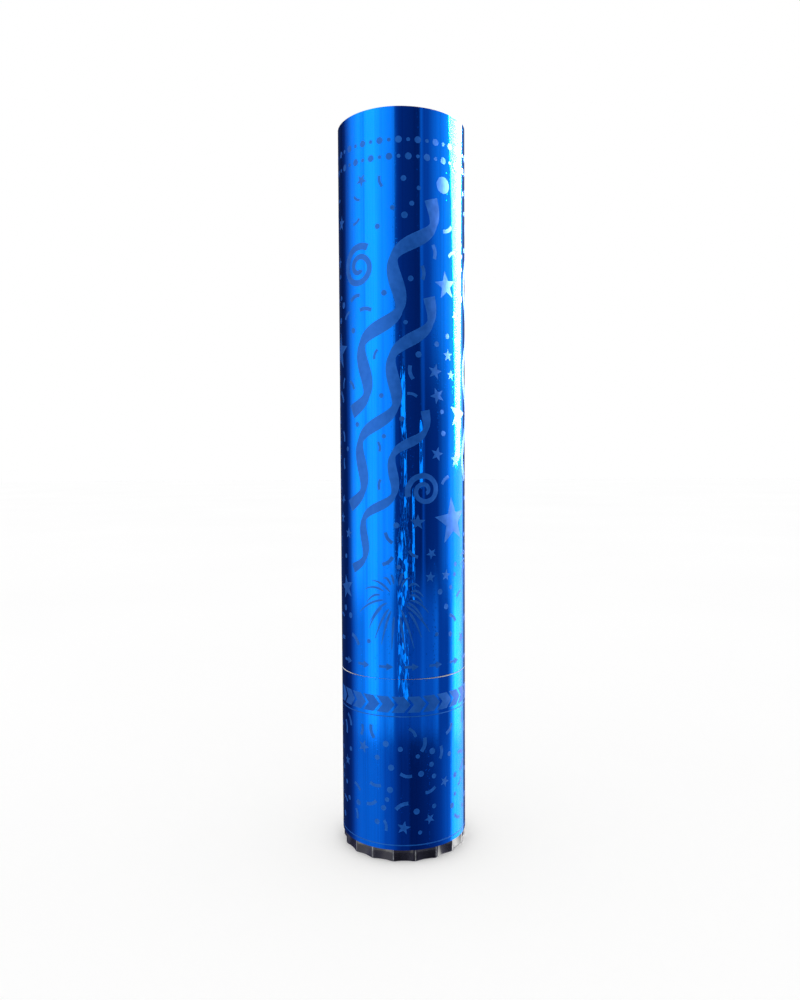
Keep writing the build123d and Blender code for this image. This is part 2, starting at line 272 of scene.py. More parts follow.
recess_radius = foot_radius - foot_rim
skirt_bore = skirt_radius - skirt_wall
base_plug = turned("base_plug_piece", [
    (skirt_radius, plug_top), (skirt_radius, foot_height), (foot_radius, foot_height),
    (foot_radius, 0), (recess_radius, 0), (recess_radius, floor_height),
    (recess_radius - rib_end_gap, floor_height), (hub_radius + rib_end_gap, floor_height),
    (hub_radius, floor_height), (hub_radius, rib_rise), (access_radius, rib_rise),
    (access_radius, foot_height), (skirt_bore, foot_height), (skirt_bore, plug_top),
], foot_steps)
bpy.ops.object.mode_set(mode="EDIT")
bpy.ops.mesh.select_mode(type="FACE")
bpy.ops.mesh.select_all(action="DESELECT")
plug_mesh = bmesh.from_edit_mesh(base_plug.data)
rib_pitch = 2 * math.pi / rib_count
for face in plug_mesh.faces:
    centre = face.calc_center_median()
    radius = math.hypot(centre.x, centre.y)
    off_rib = (math.atan2(centre.y, centre.x) + rib_pitch / 2) % rib_pitch - rib_pitch / 2
    on_floor = face.normal.z < -0.9 and hub_radius + rib_end_gap < radius < recess_radius - rib_end_gap
    face.select_set(on_floor and abs(off_rib) < rib_half_angle)
bmesh.update_edit_mesh(base_plug.data)
bpy.ops.mesh.extrude_region_move(TRANSFORM_OT_translate={"value": (0, 0, rib_rise - floor_height)})
bpy.ops.mesh.select_mode(type="VERT")
bpy.ops.object.mode_set(mode="OBJECT")
soften(base_plug, foot_edge)
for corner in base_plug.data.vertices:
    radius = math.hypot(corner.co.x, corner.co.y)
    if radius > skirt_radius + foot_edge and corner.co.z < foot_height + weld:
        cut = flute_cut(math.atan2(corner.co.x, -corner.co.y))
        corner.co.x *= (radius - cut) / radius
        corner.co.y *= (radius - cut) / radius
shade(base_plug)
base_plug.data.materials.append(black_gloss())
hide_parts("base_plug")
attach(base_plug, "handle")

# Handle tube
# Wound paper tube, cut square at both ends. The film covers its outside, so that only the cut edge
# shows at the seam; the base plug and the bottle carrier are glued into it.
tube_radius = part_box("handle_tube")[1].x
tube_wall = 1.85 * mm
tube_edge = 0.12 * mm
tube_steps = 240
paper_fibre = 0.35 * mm
paper_nap = 0.03 * mm
paper_ply = 0.32 * mm
paper_winding = 42 * mm


def paper_tube(name, node):
    """A wound paper tube in the place of its CAD node."""
    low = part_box(node)[0].z
    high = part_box(node)[1].z
    bore = tube_radius - tube_wall
    piece = turned(name, [(tube_radius, low), (bore, low), (bore, high), (tube_radius, high)], tube_steps)
    soften(piece, tube_edge)
    shade(piece)
    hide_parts(node)
    return piece


def multiply(first, second):
    """Two colours or values multiplied."""
    return wired("MixRGB", "Color", {"Fac": 1, "Color1": first, "Color2": second}, blend_type="MULTIPLY")


def wound_paper():
    """Off-white board: fibres, the plies that show on a cut edge, and the winding's helical seams."""
    material, shader, place = finish("wound_paper", 0.75)
    fibres = grain(place, paper_fibre, detail=5)
    x, y, z, reach = parted(place)
    turns = reckon("MULTIPLY", reckon("ARCTAN2", y, x), 1 / (2 * math.pi))
    seam = reckon("PINGPONG", reckon("MULTIPLY_ADD", z, 1 / paper_winding, turns), 0.5)
    plies = wired("TexNoise", "Fac", {"W": reach, "Scale": 1 / paper_ply}, noise_dimensions="1D")
    seams = tint(seam, (0.42, 0.38, 0.32), (1, 1, 1), 0.0, 0.03)
    paper = tint(fibres, (0.76, 0.75, 0.73), (0.90, 0.90, 0.88))
    edges = tint(plies, (0.86, 0.85, 0.83), (1, 1, 1))
    coat(shader, multiply(multiply(paper, seams), edges), relief(fibres, paper_nap))
    return material


tube_paper = wound_paper()
handle_tube = paper_tube("handle_tube_piece", "handle_tube")
handle_tube.data.materials.append(tube_paper)
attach(handle_tube, "handle")

# Air bottle
# Small drawn aluminium bottle that holds the compressed air, with a pushed-up base, a tapered
# shoulder and a rolled bead round its mouth. A rubber plug closes the hole that it is charged through.
ring_pitch = 0.25 * mm
ring_depth = 0.006 * mm
ring_clouds = 5 * mm
ring_wear = 0.12
bloom_size = 1.2 * mm
bloom_depth = 0.02 * mm


def plain_finish(name, dark, light, gloss, size, depth, metallic=0.0, stretch=(1, 1, 1), detail=3,
                 gloss_size=None, relief_size=None, sockets=()):
    """A finish whose colour follows a noise, and whose gloss and relief do too if given no size."""
    material, shader, place = finish(name, gloss[0], metallic, sockets)
    noise = grain(place, size, stretch, detail)
    haze = grain(place, gloss_size) if gloss_size else noise
    bumps = grain(place, relief_size) if relief_size else noise
    roughness = vary(haze, *gloss) if len(gloss) > 1 else None
    coat(shader, tint(noise, dark, light), relief(bumps, depth), roughness)
    return material


def drawn_metal(name, dark, light, roughness):
    """Drawn or turned metal: fine rings round the axis, and a gloss that varies in soft clouds."""
    return plain_finish(name, dark, light, (roughness, roughness + ring_wear), ring_pitch, ring_depth, 1.0,
                        (60, 60, 1), gloss_size=ring_clouds)


def dress(node, material):
    """Gives a carried-over CAD piece its finish."""
    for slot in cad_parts[node].material_slots:
        slot.material = material


seal_rubber = plain_finish("seal_rubber_finish", (0.010, 0.010, 0.011), (0.034, 0.033, 0.032), (0.6, 0.82),
                           bloom_size, bloom_depth, detail=5)
dress("air_bottle", drawn_metal("drawn_aluminium", (0.68, 0.69, 0.71), (0.82, 0.83, 0.85), 0.28))
dress("fill_plug", seal_rubber)

# Valve
# A crimped tinplate cup holds a natural plastic cage in the bottle's mouth, over a rubber gasket that
# is also the seat. The brass poppet inside is held shut by a wire spring, which shortens as it opens.
spring_low, spring_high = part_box("valve_spring")
spring_wire = 0.8 * mm
spring_turns = 4
spring_steps = 40
spring_sides = 8
spring_radius = spring_high.x - spring_wire / 2
spring_end_lie = 0.6


def coil(name):
    """The spring: a wire tube along a helix whose end turns lie nearly flat."""
    piece = added(name, bpy.ops.mesh.primitive_grid_add, size=2,
                  x_subdivisions=spring_turns * spring_steps, y_subdivisions=spring_sides)
    rise = spring_high.z - spring_low.z - spring_wire
    for corner in piece.data.vertices:
        along = (corner.co.x + 1) / 2
        around = math.pi * (corner.co.y + 1)
        climbed = along - math.sin(2 * math.pi * along) / (2 * math.pi) * spring_end_lie
        turn = 2 * math.pi * spring_turns * along
        reach = spring_radius + math.cos(around) * spring_wire / 2
        height = spring_low.z + spring_wire / 2 + rise * climbed + math.sin(around) * spring_wire / 2
        corner.co = (reach * math.cos(turn), reach * math.sin(turn), height)
    edit_all()
    bpy.ops.mesh.remove_doubles(threshold=weld)
    bpy.ops.mesh.fill_holes(sides=spring_sides)
    bpy.ops.mesh.select_all(action="SELECT")
    bpy.ops.mesh.normals_make_consistent(inside=False)
    bpy.ops.object.mode_set(mode="OBJECT")
    shade(piece, angle=60)
    return piece


def moulded(name, dark, light, smooth, worn):
    """Injection moulded plastic: slight colour drift, a handled gloss and a faint orange peel."""
    return plain_finish(name, dark, light, (smooth, worn), cloud_size, peel_depth, relief_size=peel_size)


spring_steel = drawn_metal("spring_wire_steel", (0.42, 0.42, 0.44), (0.62, 0.62, 0.63), 0.25)
valve_spring = coil("valve_spring_piece")
valve_spring.data.materials.append(spring_steel)
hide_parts("valve_spring")
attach(valve_spring, "handle")
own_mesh(valve_spring)
dress("valve_body", moulded("natural_plastic", (0.74, 0.72, 0.66), (0.84, 0.82, 0.77), 0.38, 0.52))
dress("valve_gasket", seal_rubber)
dress("valve_cup", drawn_metal("tinplate", (0.58, 0.58, 0.57), (0.72, 0.72, 0.71), 0.22))
dress("valve_poppet", drawn_metal("turned_brass", (0.62, 0.42, 0.14), (0.82, 0.60, 0.25), 0.2))

# Bottle carrier, air seal and retaining ring
# White moulding glued into the handle's upper end over the bottle. The barrel turns on its slotted
# tower, sealed by a rubber ring and held on by an open steel ring snapped into a groove.
white_moulding = moulded("white_moulding", (0.76, 0.76, 0.74), (0.85, 0.85, 0.83), 0.34, 0.48)
dress("bottle_carrier", white_moulding)
dress("air_seal", seal_rubber)
dress("retaining_ring", spring_steel)

# Firing plunger
# Red moulding with three arms that stand out through the tower's slots. The ramps press the arms down
# as the barrel turns, and its pin then opens the poppet.
dress("firing_plunger", moulded("red_moulding", (0.52, 0.03, 0.025), (0.64, 0.05, 0.04), 0.34, 0.5))

# Handle film
# Blue metallised film, one sheet wrapped round the tube and glued to itself along a lap down the back.
# It lies in faint buckles, and its upper edge, cut a little unevenly, stands past the tube's in places.
film_setback = 0.04 * mm
film_thickness = 0.09 * mm
film_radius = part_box("handle_film")[1].x - film_setback
film_lap = 8.0 * mm
lap_climb = 1.2 * mm
lap_glue = 0.02 * mm
film_cells_round = 480
film_cell_height = 2.4 * mm
seam_edge_low = -0.06 * mm
seam_edge_high = 0.30 * mm
edge_waves = 2.81
edge_phase = 2.26
buckle = 0.0025 * mm
broad_buckles = 29
broad_sway = 3.1
broad_length = 37 * mm
fine_buckles = 53
fine_sway = 2.3
fine_length = 21 * mm
fine_share = 0.6
crease = 0.016 * mm
crease_angle = math.radians(2)
crease_half_width = math.radians(9)
crease_count = 43
crease_sway = 2.2
crease_length = 9 * mm
crease_low = 62 * mm
crease_growth = 30 * mm
crease_high = 185 * mm
crease_fade = 70 * mm
film_sockets = (
    ("Specular Tint", (0.0, 0.75, 0.95, 1)),
    ("Coat Weight", 1),
    ("Coat Roughness", 0.04),
    ("Coat IOR", 1.1),
)
lacquer_clouds = 18 * mm
drawn_pitch = 0.9 * mm
drawn_relief = ((0.7 * mm, 300, 0.005 * mm), (2.4 * mm, 80, 0.016 * mm), (0.8 * mm, 1.6, 0.0022 * mm))
scuff_size = 0.6 * mm
scuff_gloss = (0.045, 0.10)
speck_pitch = 0.9 * mm
speck_row_pitch = 2.2 * mm
speck_depth = 0.04 * mm
facet_size = 0.7 * mm
bruise_haze = 0.1
bruise_edge = (0.16, 0.5)
streak = (0.6, 4.6, (57, 66, 104, 200))
bruises = (
    (0.0, 3.2, (57, 64, 112, 138), 0.58),
    (0.3, 1.4, (158, 170, 180, 193), 0.9),
    (1.0, 0.8, (128, 134, 160, 172), 0.55),
    (4.0, 0.7, (98, 104, 138, 145), 0.7),
    (7.1, 1.0, (141, 147, 163, 172), 0.95),
)
crumple_size = 1.6 * mm
crumple_depth = 0.22 * mm
pitted_from = 10 * mm
pitted_to = 17 * mm
pit_size = 1.2 * mm
pit_depth = 0.01 * mm


def eased(share):
    """A smooth step from 0 to 1."""
    share = min(max(share, 0.0), 1.0)
    return share * share * (3 - 2 * share)


def film_face(angle, height):
    """How far the film's face stands from the axis: buckles, creases by the seam, and the lap's climb."""
    broad = math.sin(broad_buckles * angle + broad_sway * math.sin(height / broad_length))
    fine = math.sin(fine_buckles * angle - fine_sway * math.sin(height / fine_length + 1.0))
    buckles = buckle * (broad + fine_share * fine)
    near = math.exp(-((angle - crease_angle) / crease_half_width) ** 2)
    along = eased((height - crease_low) / crease_growth) * eased((crease_high - height) / crease_fade)
    folds = math.sin(crease_count * angle + crease_sway * math.sin(height / crease_length))
    creases = crease * near * along * folds
    climb = film_thickness + lap_glue
    lapped = climb * eased((angle - math.pi) * film_radius / lap_climb + 1)
    return film_radius + buckles + creases + lapped


def wrap(piece, rise):
    """Bends a flat piece, laid out across and up, round the tube onto the film's face."""
    for corner in piece.data.vertices:
        angle = corner.co.x / film_radius
        height = corner.co.y
        reach = film_face(angle, height) + rise
        corner.co = (reach * math.sin(angle), -reach * math.cos(angle), height)


def thicken(piece, thickness):
    """Gives a sheet its thickness, inwards from its face."""
    wall = piece.modifiers.new("thickness", "SOLIDIFY")
    wall.thickness = thickness
    wall.offset = -1
    bpy.context.view_layer.objects.active = piece
    bpy.ops.object.modifier_apply(modifier=wall.name)


def film_sheet(name, node, edge_low, edge_high):
    """The film of one tube, wrapped from a flat sheet whose upper edge is cut a little unevenly."""
    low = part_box(node)[0].z
    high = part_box(node)[1].z
    half = math.pi * film_radius
    rows = round((high - low) / film_cell_height)
    piece = added(name, bpy.ops.mesh.primitive_grid_add, size=1,
                  x_subdivisions=film_cells_round, y_subdivisions=rows)
    edit_all()
    bpy.ops.transform.resize(value=(2 * half + film_lap, high - low, 1))
    bpy.ops.transform.translate(value=(film_lap / 2, (high + low) / 2, 0))
    bpy.ops.object.mode_set(mode="OBJECT")
    for corner in piece.data.vertices:
        if corner.co.y > high - weld:
            wave = math.sin(edge_waves * corner.co.x / film_radius + edge_phase)
            corner.co.y += edge_low + (edge_high - edge_low) * (1 + wave) / 2
    wrap(piece, 0)
    thicken(piece, film_thickness)
    shade(piece)
    piece.visible_diffuse = False
    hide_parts(node)
    return piece


def foil_facets(place, size, stretch, lean):
    """Small flat facets of crumpled film, each tilted by its own amount, to the left where they lean."""
    mapped = stretched(place, size, stretch)
    cells = wired("TexVoronoi", "Position", {"Vector": mapped, "Scale": 1})
    here = parted(mapped)[0]
    middle = parted(cells)[0]
    chance = parted(cells.node.outputs["Color"])[0]
    across = reckon("MULTIPLY", reckon("SUBTRACT", here, middle), size)
    slope = reckon("MULTIPLY_ADD", parted(place)[0], 1 / film_radius, lean)
    return reckon("MULTIPLY", across, reckon("SUBTRACT", slope, chance))


def metallised_film():
    """Blue lacquer over aluminium: mirror gloss with drawn lines, specks, bruises, pits and a crumple."""
    material, shader, place = finish("metallised_film", 0.06, 1.0, film_sockets)
    clouds = grain(place, lacquer_clouds, (1, 1, 2))
    scuffs = grain(place, scuff_size, (1, 1, 9), 4)
    lines = grain(place, drawn_pitch, (1, 1, 300), 3)
    lacquer = tint(clouds, (0.001, 0.175, 0.86), (0.001, 0.20, 0.94))
    drawn = tint(lines, (0.84, 0.84, 0.9), (1, 1, 1), 0.34, 0.5)
    specks = wired("TexVoronoi", "Distance", {"Vector": place, "Scale": 1 / speck_pitch})
    speck_spots = tint(specks, (1, 1, 1), (0, 0, 0), 0.0, 0.28)
    speck_rows = grain(place, speck_row_pitch, (1, 1, 40), 2)
    speck_rows = tint(speck_rows, (0, 0, 0), (1, 1, 1), 0.56, 0.66)
    x, y, z = parted(place)[:3]
    angle = reckon("ARCTAN2", x, reckon("MULTIPLY", y, -1))
    across = reckon("MULTIPLY", angle, film_radius)

    def upright_patch(middle, half, heights):
        aside = reckon("ABSOLUTE", reckon("SUBTRACT", across, middle * mm))
        low_gone, low_full, high_full, high_gone = [height * mm for height in heights]
        rise = fading(z, low_full, low_gone)
        along = reckon("MULTIPLY", rise, fading(z, high_full, high_gone))
        patch = reckon("MULTIPLY", along, fading(aside, 0, half * mm))
        return fading(patch, *reversed(bruise_edge))

    marks = 0.0
    lean = 0.0
    for middle, half, heights, bruise_lean in bruises:
        patch = upright_patch(middle, half, heights)
        marks = reckon("MAXIMUM", patch, marks)
        lean = reckon("MULTIPLY_ADD", patch, bruise_lean, lean)
    facets = reckon("MULTIPLY", marks, foil_facets(place, facet_size, (1, 1, 5), lean))
    gloss = reckon("MULTIPLY_ADD", marks, bruise_haze, vary(scuffs, *scuff_gloss))
    swell = reckon("SUBTRACT", grain(place, crumple_size, (1, 1, 4), 2), 0.5)
    crumple = reckon("MULTIPLY", upright_patch(*streak), swell)
    pitted = fading(x, pitted_to, pitted_from)
    pits = reckon("MULTIPLY", pitted, grain(place, pit_size, detail=2))
    surface = None
    for pitch, drawn_out, depth in drawn_relief:
        surface = relief(grain(place, pitch, (1, 1, drawn_out), 2), depth, surface)
    surface = relief(multiply(speck_spots, speck_rows), speck_depth, surface)
    surface = relief(pits, pit_depth, surface)
    surface = relief(crumple, crumple_depth, surface)
    surface = relief(facets, 1.0, surface)
    coat(shader, multiply(lacquer, drawn), surface, gloss)
    return material


blue_film = metallised_film()
handle_film = film_sheet("handle_film_piece", "handle_film", seam_edge_low, seam_edge_high)
handle_film.data.materials.append(blue_film)
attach(handle_film, "handle")

# Print on the handle
# Matte blue ink on the film: a band of chevrons under the seam that shows which way to twist, thin
# lines above the foot and under the band, and small stars, dots and flecks in between.
ink_rise = 0.016 * mm
ink_thickness = 0.024 * mm
ink_cell = 1.25 * mm
ink_blotch = 2.5 * mm
ink_speck = 0.2 * mm
ink_tooth = 0.004 * mm
star_waist = 0.42
ribbon_step = 0.001
fleck_bow = 0.12
star_share = 0.22
dot_share = 0.55
star_reach = 2.6
dot_reach = 1.0
fleck_reach = 2.2
fleck_width = 1.2
motif_sizes = (0.8, 1.25)
print_margin = 3 * mm
girth = 2 * math.pi * film_radius
print_end = girth / 2 + film_lap
print_start = print_end - girth
band_middle = 61.0 * mm
band_half = 3.1 * mm
band_line = (56.4 * mm, 0.4 * mm)
foot_line = (6.6 * mm, 0.45 * mm)
chevron_count = 26
chevron_pitch = (print_end - print_start) / chevron_count
chevron_gap = 1.3 * mm
chevron_lean = 2.6 * mm
printed = []


def start_print(name):
    """An empty flat layout, left in edit mode for the motifs."""
    layout = added(name, bpy.ops.mesh.primitive_plane_add, size=1)
    edit_all()
    bpy.ops.mesh.delete(type="VERT")
    printed.clear()
    return layout


def new_corners():
    """The mesh in edit mode and the corners of the motif that was just added to it."""
    mesh = bmesh.from_edit_mesh(bpy.context.object.data)
    return mesh, [corner for corner in mesh.verts if corner.select]


def print_star(across, height, radius, turn):
    """A five-pointed star."""
    bpy.ops.mesh.primitive_circle_add(vertices=10, radius=radius, fill_type="TRIFAN",
                                      location=(across, height, 0), rotation=(0, 0, turn))
    mesh, corners = new_corners()
    for corner in corners:
        arm = corner.co - Vector((across, height, 0))
        tenth = round((math.atan2(-arm.x, arm.y) - turn) / (math.pi / 5))
        corner.select_set(arm.length > radius / 2 and tenth % 2 == 1)
    mesh.select_flush_mode()
    bmesh.update_edit_mesh(bpy.context.object.data)
    bpy.ops.transform.resize(value=(star_waist, star_waist, 1), center_override=(across, height, 0))
    printed.append((across, height, radius))


def print_dot(across, height, radius):
    """A round dot."""
    bpy.ops.mesh.primitive_circle_add(vertices=28, radius=radius, fill_type="TRIFAN",
                                      location=(across, height, 0))
    printed.append((across, height, radius))


def print_ribbon(line, half_width, steps):
    """A strip along a line, both given as functions of the share along it."""
    bpy.ops.mesh.primitive_grid_add(x_subdivisions=steps, y_subdivisions=1, size=2)
    mesh, corners = new_corners()
    for corner in corners:
        share = (corner.co.x + 1) / 2
        side = corner.co.y
        ahead = Vector(line(share + ribbon_step)) - Vector(line(share - ribbon_step))
        across = Vector((-ahead.y, ahead.x)).normalized() * side * half_width(share)
        middle = Vector(line(share)) + across
        corner.co = (middle.x, middle.y, 0)
    bmesh.update_edit_mesh(bpy.context.object.data)
    for step in range(steps + 1):
        share = step / steps
        printed.append((*line(share), half_width(share)))


def print_fleck(across, height, length, width, turn):
    """A short curved slip, like one piece of confetti."""
    def line(share):
        along = (share - 0.5) * length
        bow = fleck_bow * length * math.cos(math.pi * (share - 0.5))
        return (across + along * math.cos(turn) - bow * math.sin(turn),
                height + along * math.sin(turn) + bow * math.cos(turn))
    print_ribbon(line, lambda share: width / 2, steps=4)


def print_line(height, width):
    """A thin line all round."""
    def line(share):
        return (print_start + (print_end - print_start) * share, height)
    print_ribbon(line, lambda share: width / 2, steps=120)


def print_chevron(middle):
    """One bent tile of the band."""
    bpy.ops.mesh.primitive_grid_add(x_subdivisions=1, y_subdivisions=2, size=2)
    mesh, corners = new_corners()
    for corner in corners:
        rise = corner.co.y
        spine = middle + chevron_lean * (1 - abs(rise))
        across = spine + corner.co.x * (chevron_pitch - chevron_gap) / 2
        corner.co = (across, band_middle + band_half * rise, 0)
    bmesh.update_edit_mesh(bpy.context.object.data)


def clear_of_print(across, height, room):
    """Whether a spot on the film is free, also across the lap."""
    for other_across, other_height, other_room in printed:
        apart = (across - other_across + girth / 2) % girth - girth / 2
        if math.hypot(apart, height - other_height) < room + other_room:
            return False
    return True


def scatter(draw, low, high, count, gap):
    """Small stars, dots and flecks strewn over the free places between two heights."""
    for attempt in range(count):
        across = draw.uniform(print_start + print_margin, print_end - print_margin)
        height = draw.uniform(low, high)
        kind = draw.random()
        turn = draw.uniform(0, 2 * math.pi)
        size = draw.uniform(*motif_sizes)
        reach = star_reach if kind < star_share else dot_reach if kind < dot_share else fleck_reach
        room = reach * size * mm
        if not clear_of_print(across, height, room + gap):
            continue
        if kind < star_share:
            print_star(across, height, room, turn)
        elif kind < dot_share:
            print_dot(across, height, room)
        else:
            print_fleck(across, height, 2 * room, fleck_width * size * mm, turn)


def finish_print(layout):
    """Cuts the flat layout into strips, brings it round the lap's edge and wraps it on the film."""
    for edge, beyond in ((print_end, 1), (print_start, -1)):
        bpy.ops.mesh.select_all(action="SELECT")
        bpy.ops.mesh.bisect(plane_co=(edge, 0, 0), plane_no=(1, 0, 0))
        bpy.ops.mesh.edge_split()
        mesh = bmesh.from_edit_mesh(layout.data)
        for face in mesh.faces:
            face.select_set((face.calc_center_median().x - edge) * beyond > 0)
        bmesh.update_edit_mesh(layout.data)
        bpy.ops.transform.translate(value=(-girth * beyond, 0, 0))
    for cut in range(1, math.ceil(girth / ink_cell)):
        bpy.ops.mesh.select_all(action="SELECT")
        bpy.ops.mesh.bisect(plane_co=(print_start + cut * ink_cell, 0, 0), plane_no=(1, 0, 0))
    mesh = bmesh.from_edit_mesh(layout.data)
    for face in mesh.faces:
        face.normal_update()
        if face.normal.z < 0:
            face.normal_flip()
    bmesh.update_edit_mesh(layout.data)
    bpy.ops.object.mode_set(mode="OBJECT")
    wrap(layout, ink_rise)
    thicken(layout, ink_thickness)
    shade(layout)
    layout.visible_diffuse = False


ink = plain_finish("matte_ink", (0.008, 0.105, 0.46), (0.016, 0.14, 0.56), (0.38, 0.5), ink_blotch, ink_tooth,
                   0.6, relief_size=ink_speck, sockets=(("Specular IOR Level", 0.25),))
handle_print = start_print("handle_print")
print_line(*foot_line)
print_line(*band_line)
for tile in range(chevron_count):
    print_chevron(print_start + (tile + 0.5) * chevron_pitch - chevron_lean / 2)
scatter(random.Random(11), low=11 * mm, high=52 * mm, count=420, gap=1.3 * mm)
finish_print(handle_print)
handle_print.data.materials.append(ink)
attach(handle_print, "handle")

# Barrel tube
# The longer wound paper tube, cut square. Its lower edge shows at the seam and its upper one round the
# muzzle; the shot slides up its bore.
barrel_tube = paper_tube("barrel_tube_piece", "barrel_tube")
barrel_tube.data.materials.append(tube_paper)
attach(barrel_tube, "barrel")

# Barrel collar and nozzle plate
# White mouldings glued into the barrel's lower end. The collar turns on the tower, and the plate over
# it carries the firing ramps and the holes that let the air through to the wad.
dress("barrel_collar", white_moulding)
dress("nozzle_plate", white_moulding)

# Wad
# A disc of grey board that takes the push of the air, and a thick felt pad on it that spreads the push
# over the confetti. Both slide up the barrel with the shot.
pad_low, pad_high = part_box("wad_pad")
pad_steps = 160
pad_rings = 26
pad_crown = 0.5 * mm
pad_bulge = 0.45 * mm
pad_tuft = 0.07 * mm
pad_core = 1 * mm
board_fibre = 0.5 * mm
board_nap = 0.05 * mm
felt_fibre = 0.35 * mm
felt_clump = 2.2 * mm
felt_nap = 0.15 * mm
pad_radius = pad_high.x
pad_depth = pad_high.z - pad_low.z
pad_outline = [(0, pad_low.z)]
for step in range(pad_rings + 1):
    share = step / pad_rings
    pad_outline.append((pad_radius - pad_bulge * (2 * share - 1) ** 4,
                        pad_low.z + pad_crown + (pad_depth - 2 * pad_crown) * share))
for step in range(1, pad_rings):
    share = 1 - step / pad_rings
    pad_outline.append(((pad_radius - pad_bulge) * share, pad_high.z - pad_crown * share ** 4))
pad_outline.append((0, pad_high.z))
wad_pad = turned("wad_pad_piece", pad_outline, pad_steps)
tufts = random.Random(5)
for corner in wad_pad.data.vertices:
    radius = math.hypot(corner.co.x, corner.co.y)
    if pad_low.z + pad_crown < corner.co.z < pad_high.z - pad_tuft and radius > pad_core:
        shrink = 1 - tufts.random() * pad_tuft / radius
        corner.co.x *= shrink
        corner.co.y *= shrink
    if corner.co.z > pad_high.z - pad_crown and radius > pad_core:
        corner.co.z -= tufts.random() * pad_tuft
shade(wad_pad, angle=80)
felt = plain_finish("wool_felt", (0.30, 0.30, 0.29), (0.56, 0.56, 0.54), (0.88, 1.0), felt_fibre, felt_nap,
                    detail=6, gloss_size=felt_clump, sockets=(("Sheen Weight", 0.35),))
wad_pad.data.materials.append(felt)
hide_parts("wad_pad")
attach(wad_pad, "wad")
board = plain_finish("grey_board", (0.36, 0.30, 0.22), (0.56, 0.48, 0.37), (0.85,), board_fibre, board_nap,
                     stretch=(1, 1, 0.5), detail=5)
dress("wad_disc", board)

# Confetti
# Slips of coloured tissue and foil, cut to one size and stood on end in bundles. Six bundles fill the
# bore in a tier, and each of the three tiers is turned a little on the one below.
slip_width = 17.0 * mm
slip_trim = 0.7 * mm
slip_thickness = 0.05 * mm
slip_step = 0.47 * mm
slip_curl = 0.16 * mm
bundle_row = 4
bundle_gap = 0.5 * mm
bundle_reach = 20.4 * mm
tier_turn = math.radians(30)
tier_bodies = (
    ("confetti_low", "charge_low"),
    ("confetti_middle", "charge_middle"),
    ("confetti_top", "charge_top"),
)
tissue_wrinkle = 1.6 * mm
tissue_relief = 0.05 * mm
foil_relief = 0.06 * mm
foil_gloss = (0.14, 0.3)
slip_wrinkle = 1.5 * mm
tissue_colours = (
    ("red_tissue", (0.55, 0.02, 0.03), (0.74, 0.05, 0.06)),
    ("yellow_tissue", (0.78, 0.50, 0.02), (0.90, 0.64, 0.06)),
    ("green_tissue", (0.03, 0.34, 0.08), (0.06, 0.46, 0.13)),
    ("pink_tissue", (0.72, 0.16, 0.34), (0.85, 0.27, 0.46)),
    ("blue_tissue", (0.03, 0.16, 0.52), (0.06, 0.24, 0.68)),
)
slip_finishes = []
for tissue, dark, light in tissue_colours:
    slip_finishes.append(plain_finish(tissue, dark, light, (0.7, 0.9), tissue_wrinkle, tissue_relief,
                                      stretch=(1, 1, 3)))
slip_finishes.append(plain_finish("silver_slip_foil", (0.72, 0.73, 0.75), (0.88, 0.89, 0.91), foil_gloss,
                                  slip_wrinkle, foil_relief, 1.0))


def first_slip(length):
    """One slip, stood on end and slightly curled, with its thickness."""
    piece = added("slip", bpy.ops.mesh.primitive_grid_add, size=1, x_subdivisions=3, y_subdivisions=6)
    for corner in piece.data.vertices:
        bow = slip_curl * (math.cos(math.pi * corner.co.x) * math.cos(2 * math.pi * corner.co.y))
        corner.co = (corner.co.x * (slip_width - slip_trim), bow, corner.co.y * length)
    thicken(piece, slip_thickness)
    for slip_finish in slip_finishes:
        piece.data.materials.append(slip_finish)
    return piece


def stacked(middle, depth):
    """The spots of one bundle's slips, along the way that they are stacked."""
    slips = int((depth - 2 * slip_curl) / slip_step)
    return [middle + (slip - (slips - 1) / 2) * slip_step for slip in range(slips)]


def tier_places():
    """Each slip's place across the bore: its middle and the way that its face looks."""
    row_step = (2 * bundle_reach + bundle_gap) / bundle_row
    side_low = slip_width / 2 + bundle_gap
    places = []
    for bundle in range(bundle_row):
        middle = (bundle - (bundle_row - 1) / 2) * row_step
        places += [(0, spot, 0) for spot in stacked(middle, row_step - bundle_gap)]
    for side in (-1, 1):
        middle = side * (side_low + bundle_reach) / 2
        places += [(spot, 0, math.pi / 2) for spot in stacked(middle, bundle_reach - side_low)]
    return places


shuffle = random.Random(23)
for tier, (node, body) in enumerate(tier_bodies):
    tier_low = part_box(node)[0].z
    tier_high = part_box(node)[1].z
    model = first_slip(tier_high - tier_low - slip_trim)
    copies = []
    for across, along, face_turn in tier_places():
        alone(model)
        bpy.ops.object.duplicate()
        copy = bpy.context.object
        slide = shuffle.uniform(-0.5, 0.5) * slip_trim
        lift = shuffle.uniform(-0.5, 0.5) * slip_trim
        spot = Vector((across, along, 0)) + Matrix.Rotation(face_turn, 3, "Z") @ Vector((slide, 0, 0))
        copy.location = Matrix.Rotation(tier * tier_turn, 3, "Z") @ spot
        copy.location.z = (tier_low + tier_high) / 2 + lift
        copy.rotation_euler.z = tier * tier_turn + face_turn + shuffle.choice((0, math.pi))
        colour = shuffle.randrange(len(slip_finishes))
        for face in copy.data.polygons:
            face.material_index = colour
        copies.append(copy)
    bpy.data.objects.remove(model)
    bpy.ops.object.select_all(action="DESELECT")
    for copy in copies:
        copy.select_set(True)
    bpy.context.view_layer.objects.active = copies[0]
    bpy.ops.object.join()
    bpy.ops.object.transform_apply(location=True, rotation=True, scale=True)
    tier_slips = named(node + "_slips")
    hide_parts(node)
    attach(tier_slips, body)

